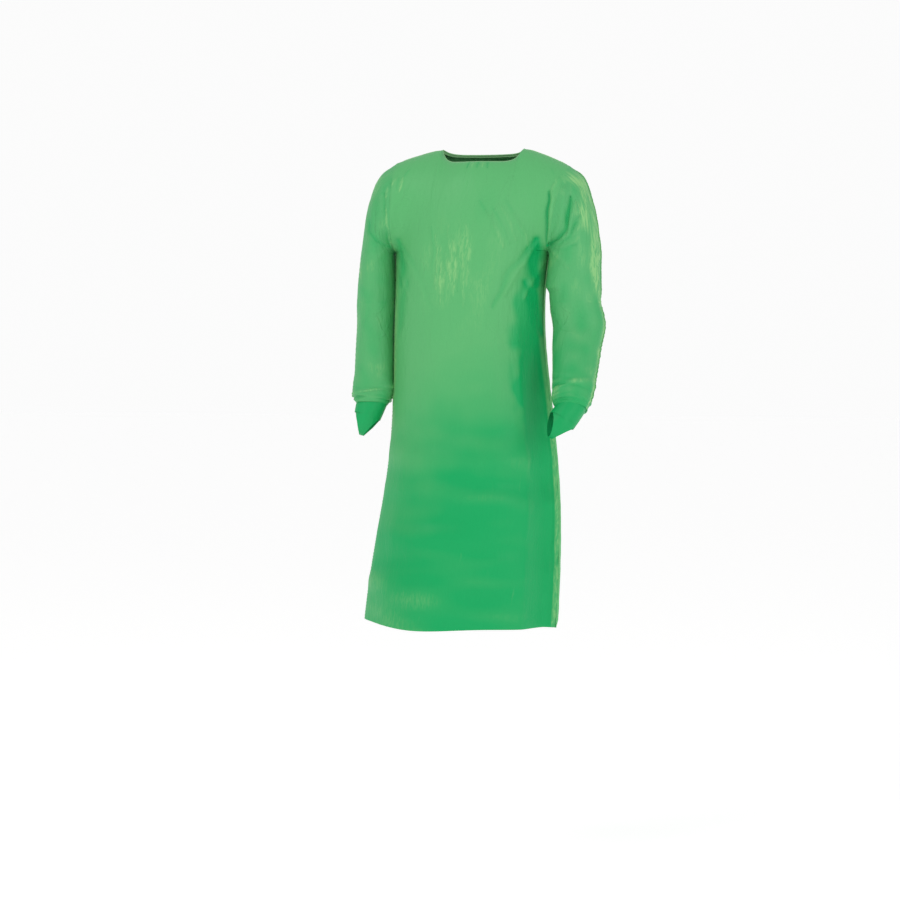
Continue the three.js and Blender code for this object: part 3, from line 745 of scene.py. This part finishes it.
def film_material(name, pale, deep, crinkled=1.0, bump=0.0016):
    material = bpy.data.materials.new(name)
    material.use_nodes = True
    tree = material.node_tree
    shader = tree.nodes["Principled BSDF"]
    pattern = node(tree, "ShaderNodeUVMap", {"uv_map": "flat"})[0]
    place = node(tree, "ShaderNodeTexCoord")["Object"]
    group = tree.nodes.new("ShaderNodeGroup")
    group.node_tree = crinkle
    tree.links.new(pattern, group.inputs["Pattern"])
    tree.links.new(place, group.inputs["Place"])
    group.inputs["Crinkle"].default_value = crinkled
    # The base colour is the film's green with painted sheen and painted highlight mixed into it.
    ramp = node(tree, "ShaderNodeMix", {"data_type": "RGBA", "clamp_factor": True},
                i0=group.outputs["Painted Sheen"], i6=(*deep, 1), i7=(*pale, 1))[2]
    # The stretched attribute holds the painted light: painted highlight above 0, painted shade below.
    stretched = node(tree, "ShaderNodeAttribute", {"attribute_name": "stretched"})["Fac"]
    tree.links.new(stretched, group.inputs["Painted Light"])
    whole = node(tree, "ShaderNodeMix", {"data_type": "RGBA", "clamp_factor": True},
                 i0=group.outputs["Painted Highlight"], i6=ramp, i7=(*highlight_green, 1))[2]
    tree.links.new(whole, shader.inputs["Base Color"])
    tree.links.new(group.outputs["Gloss"], shader.inputs["Roughness"])
    bumped = node(tree, "ShaderNodeBump", Strength=1.0, Distance=bump, Height=group.outputs["Height"])[0]
    tree.links.new(bumped, shader.inputs["Normal"])
    shader.inputs["IOR"].default_value = 1.42
    shader.inputs["Specular IOR Level"].default_value = 0.26
    return material


# Each film's first colour is its green under full painted sheen, and the second is its green with no sheen
# painted.
sheen_lit_green = (0.100, 0.425, 0.150)
deep_green = (0.004, 0.362, 0.105)
body_film = film_material("body_film", sheen_lit_green, deep_green)
sleeve_film = film_material("sleeve_film", (0.086, 0.405, 0.145), (0.020, 0.370, 0.110), 1.25)
cuff_paint = film_material("cuff_film", (0.010, 0.355, 0.104), (0.006, 0.345, 0.100), 1.3)
# The welds' paler green is partly the melted film's own and partly a painted highlight on their crimps.
weld_film = film_material("welded_film", (0.25, 0.56, 0.25), (0.15, 0.50, 0.20), 1.0, 0.0008)

# ---- Sheets of film ----
# Each sheet is made from its part of the garment, with a thin wall and the folds' own shading
# carried over the welds, so that it runs on into its neighbour.
sheet_thickness = 0.0004


def film_piece(name, points, uv, faces, way, material, thick=sheet_thickness, stretch=None):
    """A closed sheet from a grid of points: an outer face, an inner face, and its edges."""
    count = len(points)
    corners = points[faces]
    facing = np.cross(corners[:, 2] - corners[:, 0], corners[:, 3] - corners[:, 1])
    if (facing * way[faces[:, 0]]).sum() < 0:
        faces = faces[:, ::-1]
    both = np.concatenate([points + way * thick / 2, points - way * thick / 2])
    edges = {}
    for a, b, c, d in faces:
        for edge in ((a, b), (b, c), (c, d), (d, a)):
            edges[edge] = True
    rim = [(b, a, a + count, b + count) for a, b in edges if (b, a) not in edges]
    every = [tuple(f) for f in faces] + [tuple(f[::-1] + count) for f in faces] + rim
    mesh = bpy.data.meshes.new(name)
    mesh.from_pydata(both.tolist(), [], [tuple(int(i) for i in f) for f in every])
    layer = mesh.uv_layers.new(name="flat")
    used = np.zeros(len(mesh.loops), int)
    mesh.loops.foreach_get("vertex_index", used)
    layer.data.foreach_set("uv", uv[used % count].astype(np.float32).ravel())
    mesh.polygons.foreach_set("use_smooth", [True] * len(mesh.polygons))
    turned = np.concatenate([way, -way])[used]
    first_rim_loop = 4 * 2 * len(faces)
    for k, p in enumerate(range(2 * len(faces), len(mesh.polygons))):
        turned[first_rim_loop + 4 * k:first_rim_loop + 4 * k + 4] = mesh.polygons[p].normal
    mesh.normals_split_custom_set(turned.tolist())
    # The stretched attribute, when given, carries the painted light: painted highlight above 0, painted
    # shade below.
    if stretch is not None:
        mesh.attributes.new("stretched", "FLOAT", "POINT").data.foreach_set(
            "value", np.concatenate([stretch, stretch]).astype(np.float32))
    mesh.materials.append(material)
    piece = bpy.data.objects.new(name, mesh)
    scene.collection.objects.link(piece)
    return piece


garment_normals = normals(garment)


def cut_out(name, material):
    """The named sheet as a piece, with its place on the flat pattern as its UV map."""
    patch = patches[name]
    rows, columns = patch["rows"].shape[:2]
    uv = flat_pattern(patch["rows"], patch["tube"])[:, :columns].reshape(-1, 2)
    index = patch["index"]
    return film_piece(name, garment[index], uv, patch["faces"], garment_normals[index], material,
                      stretch=np.clip(painted_light[index], -1.2, 1.4))


front = cut_out("front_film", body_film)
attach(front, "body")
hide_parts("front_panel")

# A weld's fins are handled like the sheet that they are on: attached to the body, or with their placing
# baked in.
bends = {"body": lambda piece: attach(piece, "body")}


def bend_like(name):
    bends[name] = lambda piece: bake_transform(piece)


for name, side in sides:
    # The line from the top of the slit to the hem, beyond which each back sheet folds open, is worked out
    # here but not used.
    foot = Vector(slit_foot) + Vector((side * fold_half, 0, 0))
    line = (foot - Vector(slit_top)).normalized()
    inward = Vector((-side, 0, 0))
    inward = (inward - line * inward.dot(line)).normalized()
    bend_like(f"back_{name}")
    piece = bends[f"back_{name}"](cut_out(f"back_film_{name}", body_film))
    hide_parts(f"back_panel_{name}", f"back_flap_{name}")

    # The sleeve is made as an upper piece and a forearm piece, each with its placing baked in.
    bend_like(f"upper_{name}")
    bend_like(f"lower_{name}")
    piece = bends[f"upper_{name}"](cut_out(f"sleeve_film_{name}", sleeve_film))
    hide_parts(f"sleeve_head_{name}", f"sleeve_upper_{name}")
    piece = bends[f"lower_{name}"](cut_out(f"forearm_film_{name}", sleeve_film))
    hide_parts(f"sleeve_elbow_{name}", f"sleeve_forearm_{name}")

# ---- Cuffs and thumb loops ----
# Each sleeve is drawn in to a narrower cuff. Below it the film runs on in two tongues, one over the back
# of the hand and one over the palm, which meet between the thumb and the first finger.
tongue_drop, tongue_tip = 0.046, 0.009
for name, side in sides:
    piece = cut_out(f"cuff_film_{name}", cuff_paint)
    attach(piece, f"{name}_forearm")
    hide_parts(f"cuff_{name}")

    cuff_end, cuff_way = hands[name]
    edge = garment[patches[f"cuff_film_{name}"]["index"]].reshape(-1, ring_steps, 3)[-1]
    centre = edge.mean(0)
    to_thumb = np.array((*arms[name]["thumb"], 0.0))
    to_thumb = unit(to_thumb - cuff_way * (to_thumb @ cuff_way))
    across_hand = np.cross(cuff_way, to_thumb)
    radius = np.abs((edge - centre) @ across_hand).max()
    widest = np.abs((edge - centre) @ to_thumb).max()
    rows = []
    for angle in np.linspace(0, math.pi, 61):
        wide = tongue_tip / 2 + (widest * 0.985 - tongue_tip / 2) * (1 - math.sin(angle)) ** 1.05
        share = np.linspace(-1, 1, 15)
        round_hand = np.sqrt(np.clip(1 - (share * wide / widest) ** 2, 0, 1)) * 0.97 + 0.03
        middle = centre + cuff_way * (tongue_drop * math.sin(angle) - 0.003)
        rows.append(middle + np.outer(share * wide, to_thumb)
                    + np.outer(radius * math.cos(angle) * round_hand, across_hand))
    rows = np.array(rows)
    ripple = rough(rows.reshape(-1, 3), 0.018, 17 + side).reshape(rows.shape[:2]) * 0.0012
    tangent = np.gradient(rows, axis=0)
    out = np.cross(tangent, np.gradient(rows, axis=1))
    out /= np.maximum(np.linalg.norm(out, axis=2), 1e-9)[..., None]
    rows += out * ripple[..., None]
    pattern = flat_pattern(rows, False).reshape(-1, 2)
    piece = film_piece(f"thumb_loop_film_{name}", rows.reshape(-1, 3), pattern,
                       grid_faces(*rows.shape[:2], False), out.reshape(-1, 3), cuff_paint)
    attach(piece, f"{name}_forearm")
    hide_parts(f"thumb_loop_{name}")

# ---- Welds ----
# The sheets are joined by heat along their edges. The two layers stand out past the join as a narrow
# fin, pale where they were melted together and paler still with a painted highlight, and puckered because
# the heat shrinks them.
pucker_length = 0.0065


def along_line(line, step=0.0016):
    """The same line with evenly spaced points."""
    line = np.asarray(line)
    at = np.concatenate([[0], np.cumsum(np.linalg.norm(np.diff(line, axis=0), axis=1))])
    even = np.linspace(0, at[-1], max(int(at[-1] / step), 4))
    return np.stack([np.interp(even, at, line[:, k]) for k in range(3)], -1), even


def weld_fin(name, line, way_out, width, bend, *nodes, pucker=0.0009):
    line, even = along_line(line)
    tangent = np.gradient(line, axis=0)
    out = np.broadcast_to(np.array(way_out, float), line.shape)
    along = (out * tangent).sum(1) / (tangent * tangent).sum(1)
    out = out - tangent * along[:, None]
    out /= np.linalg.norm(out, axis=1)[:, None]
    side_way = np.cross(tangent, out)
    side_way /= np.linalg.norm(side_way, axis=1)[:, None]
    uneven = rough(line, 0.02, len(name))
    wave = np.sin(even / pucker_length * 2 * math.pi + uneven * 5) * (0.35 + 0.9 * np.abs(uneven)) * pucker
    ends = np.minimum(smooth(0, 0.02, even), smooth(0, 0.02, even[-1] - even))
    reach = width * (0.25 + 0.75 * ends) * (1 + 0.16 * uneven)
    rows = np.array([line + out * (reach * share - 0.0006)[:, None] + side_way * (wave * share)[:, None]
                     for share in np.linspace(0, 1, 6)])
    way = np.broadcast_to(side_way, rows.shape)
    piece = film_piece(name, rows.reshape(-1, 3), flat_pattern(rows, False).reshape(-1, 2),
                       grid_faces(*rows.shape[:2], False), way.reshape(-1, 3), weld_film, thick=0.0007)
    bends[bend](piece)
    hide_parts(*nodes)


def points_of(patch_name):
    patch = patches[patch_name]
    return garment[patch["index"]].reshape(*patch["rows"].shape)


front_points = points_of("front_film")
shoulder_columns = {1: front_columns - np.arange(front_columns - neck_column + 1)[::-1],
                    -1: np.arange(front_columns - neck_column + 1)[::-1]}
for name, side in sides:
    edge = 0 if side < 0 else -1
    # The right side weld lies back against the body, under the arm; the left one stands out.
    way = (side, 0.25, 0) if side > 0 else (side * 0.3, 1, 0)
    weld_fin(f"side_seam_{name}", front_points[:skirt_rows, edge], way, 0.0042, "body", f"side_weld_{name}")
    shoulder_line = front_points[-1, shoulder_columns[side]]
    weld_fin(f"shoulder_seam_{name}", shoulder_line[::side], (0, 0.35, 1), 0.0022,
             "body", f"shoulder_weld_{name}", pucker=0.0005)
    upper = points_of(f"sleeve_film_{name}")
    lower = points_of(f"forearm_film_{name}")
    half_way = ring_steps // 2
    weld_fin(f"over_arm_seam_{name}", upper[2:, half_way], (side, -0.5, 0.25), 0.0028, f"upper_{name}",
             f"over_arm_weld_{name}", pucker=0.0006)
    weld_fin(f"forearm_seam_{name}", lower[:-4, half_way], (side, -0.5, 0), 0.0028, f"lower_{name}",
             f"forearm_weld_{name}", pucker=0.0007)
    weld_fin(f"under_arm_seam_{name}", lower[:-4, 0], (-side, 0.2, 0), 0.0026, f"lower_{name}",
             f"under_arm_weld_{name}")
back_points = points_of("back_film_left")
inner_edge = back_points[skirt_rows + yoke_rows // 2:, 0 if abs(back_points[-1, 0, 0]) < 0.02 else -1]
weld_fin("back_seam", inner_edge, (0, 1, 0.1), 0.0040, "body", "back_neck_weld")

# ---- Neck edge ----
# The neck edge is turned in once and welded down, which makes a narrow double band.
band = 0.0055


def neck_band(name, line, face, node_name):
    line, even = along_line(line)
    centre = np.array((0, 0, -0.012))
    tangent = np.gradient(line, axis=0)
    tangent /= np.linalg.norm(tangent, axis=1)[:, None]
    hang = np.array((0, face * 0.45, -1.0))
    down = hang - tangent * (tangent @ hang)[:, None]
    down /= np.linalg.norm(down, axis=1)[:, None]
    out = np.cross(tangent, down)
    out *= np.sign((out * (line - centre)).sum(1))[:, None]
    uneven = rough(line, 0.012, 23)
    profile = [(0.0002, -0.0006), (-0.0011, 0.0), (0.0002, 0.0009), (band * 0.5, 0.0010), (band, 0.0008)]
    rows = np.array([line + down * (drop + 0.0004 * uneven[:, None] * (drop > 0.001))
                     + out * (rise + 0.0002 * uneven[:, None]) for drop, rise in profile])
    way = np.cross(np.gradient(rows, axis=1), np.gradient(rows, axis=0))
    way /= np.linalg.norm(way, axis=2)[..., None]
    piece = film_piece(name, rows.reshape(-1, 3), flat_pattern(rows, False).reshape(-1, 2),
                       grid_faces(*rows.shape[:2], False), way.reshape(-1, 3), weld_film, thick=0.0005)
    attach(piece, "body")
    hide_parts(node_name)


inside_neck = np.abs(across) <= neck_share + 0.012
neck_band("neck_band_front", front_points[-1, inside_neck], -1, "neck_edge_front")
back_line = np.concatenate([points_of("back_film_right")[-1], points_of("back_film_left")[-1]])
back_line = back_line[np.argsort(back_line[:, 0])]
back_line = back_line[np.abs(back_line[:, 0]) <= neck_half + 0.002]
neck_band("neck_band_back", back_line, 1, "neck_edge_back")

# ---- Tie patches ----
# A waist tie is welded to each back flap at a small rectangle of doubled film, embossed all over.
patch_width = 0.026
for name, side in sides:
    low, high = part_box(f"tie_patch_{name}")
    at = np.array((low + high) / 2)
    back = points_of(f"back_film_{name}").reshape(-1, 3)
    under_patch = back[np.argmin(np.abs(back[:, 0] - at[0]) + np.abs(back[:, 2] - at[2]))]
    at[1] = under_patch[1] + 0.0010
    bpy.ops.object.select_all(action="DESELECT")
    bpy.ops.mesh.primitive_plane_add(size=1, location=at, rotation=(math.pi / 2, 0, 0))
    piece = bpy.context.object
    piece.name = f"tie_patch_film_{name}"
    piece.scale = (high.x - low.x, high.z - low.z, 1)
    bpy.ops.object.transform_apply(location=True, rotation=True, scale=True)
    bpy.ops.object.mode_set(mode="EDIT")
    bpy.ops.mesh.select_all(action="SELECT")
    bpy.ops.mesh.inset(thickness=0.002, depth=0.0003)
    bpy.ops.mesh.subdivide(number_cuts=5)
    bpy.ops.object.mode_set(mode="OBJECT")
    thickness = piece.modifiers.new("film", "SOLIDIFY")
    thickness.thickness = 0.0006
    thickness.offset = 0
    softened = piece.modifiers.new("soft edge", "BEVEL")
    softened.width = 0.0002
    for modifier in ("film", "soft edge"):
        bpy.ops.object.modifier_apply(modifier=modifier)
    piece.data.uv_layers[0].name = "flat"
    uv = np.zeros(len(piece.data.loops) * 2, np.float32)
    piece.data.uv_layers["flat"].data.foreach_get("uv", uv)
    piece.data.uv_layers["flat"].data.foreach_set("uv", uv * patch_width)
    bpy.ops.object.shade_smooth_by_angle(angle=math.radians(35))
    piece.data.materials.append(weld_film)
    piece.matrix_world.identity()
    bends[f"back_{name}"](piece)
    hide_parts(f"tie_patch_{name}")

# ---- What each sheet was cut to ----
# The sheets' sizes before they were made up, as width and length; none of them is a rectangle.
flat_sizes = {"front_film": (0.56, 1.04), "back_film": (0.30, 1.04), "sleeve_film": (0.36, 0.30),
              "forearm_film": (0.32, 0.24), "cuff_film": (0.215, 0.040)}
for patch_name in patches:
    kind = patch_name.replace("_left", "").replace("_right", "")
    width, length = flat_sizes[kind]
